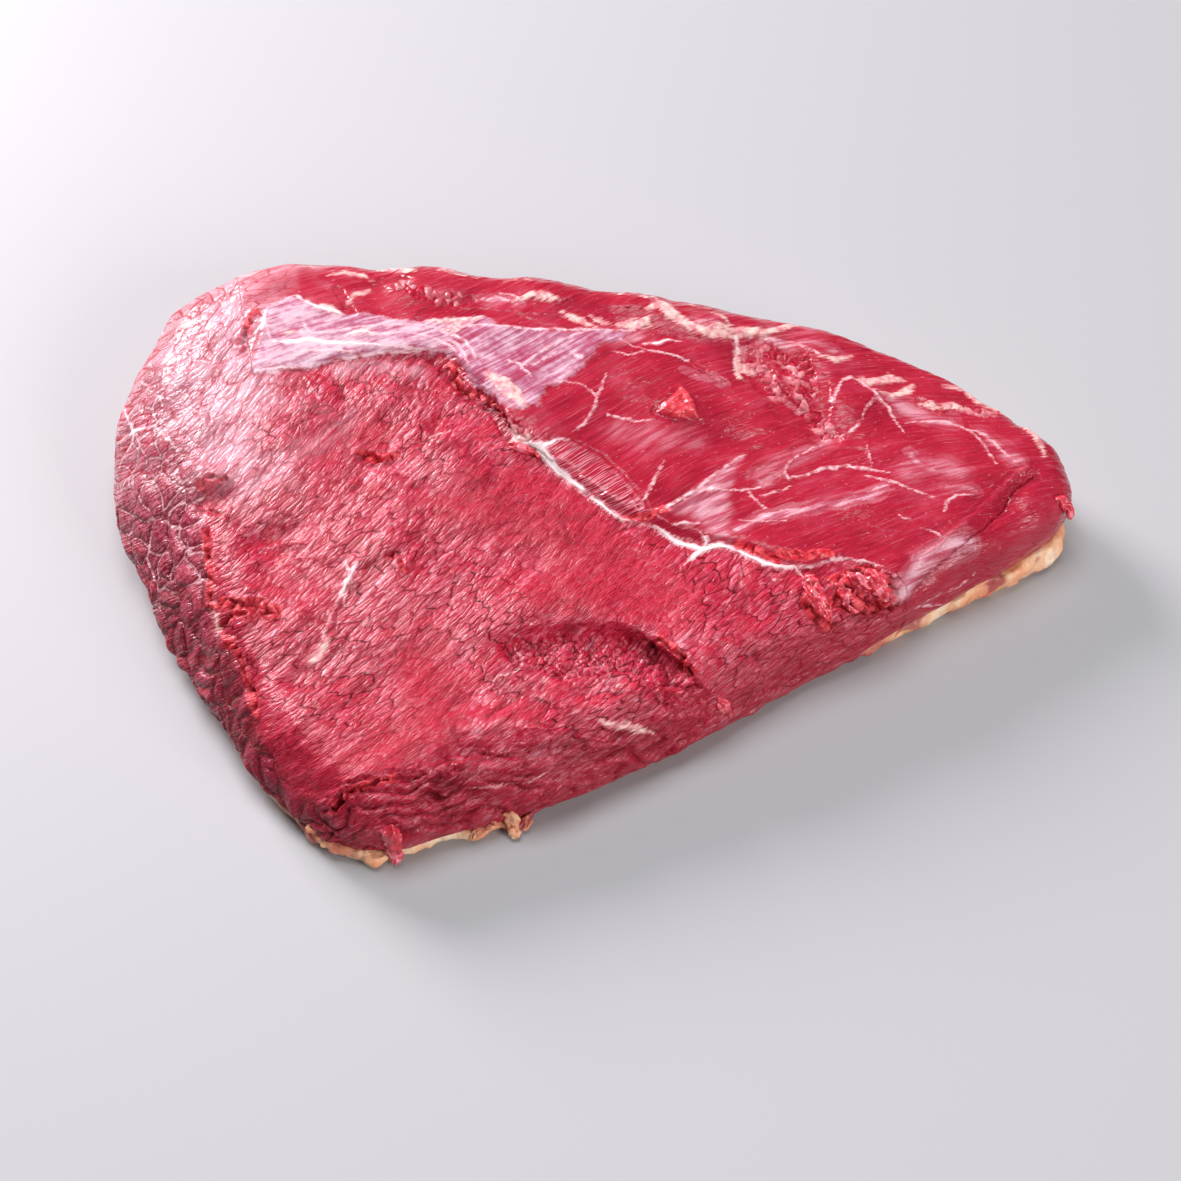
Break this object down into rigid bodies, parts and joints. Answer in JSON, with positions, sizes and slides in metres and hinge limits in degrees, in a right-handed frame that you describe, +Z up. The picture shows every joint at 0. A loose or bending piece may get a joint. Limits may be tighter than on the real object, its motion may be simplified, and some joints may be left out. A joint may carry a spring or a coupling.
{
  "type": "dry-aged picanha",
  "caption": "Raw, dry-aged rump cap of beef, whole and triangular, lying on its fat cap with the lean side up.",
  "frame": {"origin": "on the table, under the middle of the cut's footprint box", "axes": "+X from the broad cut end to the narrow tip, +Z up from the fat cap to the lean side, -Y towards the near long edge"},
  "size_m": [0.3078, 0.2204, 0.0462],
  "materials": {
    "lean": "damp raw muscle with fine grain, a satin to glossy sheen",
    "fat": "firm peach and cream fat, satin"
  },
  "bodies": {
    "root": {"lean": "lean", "fat_cap": "fat"}
  },
  "joints": []
}
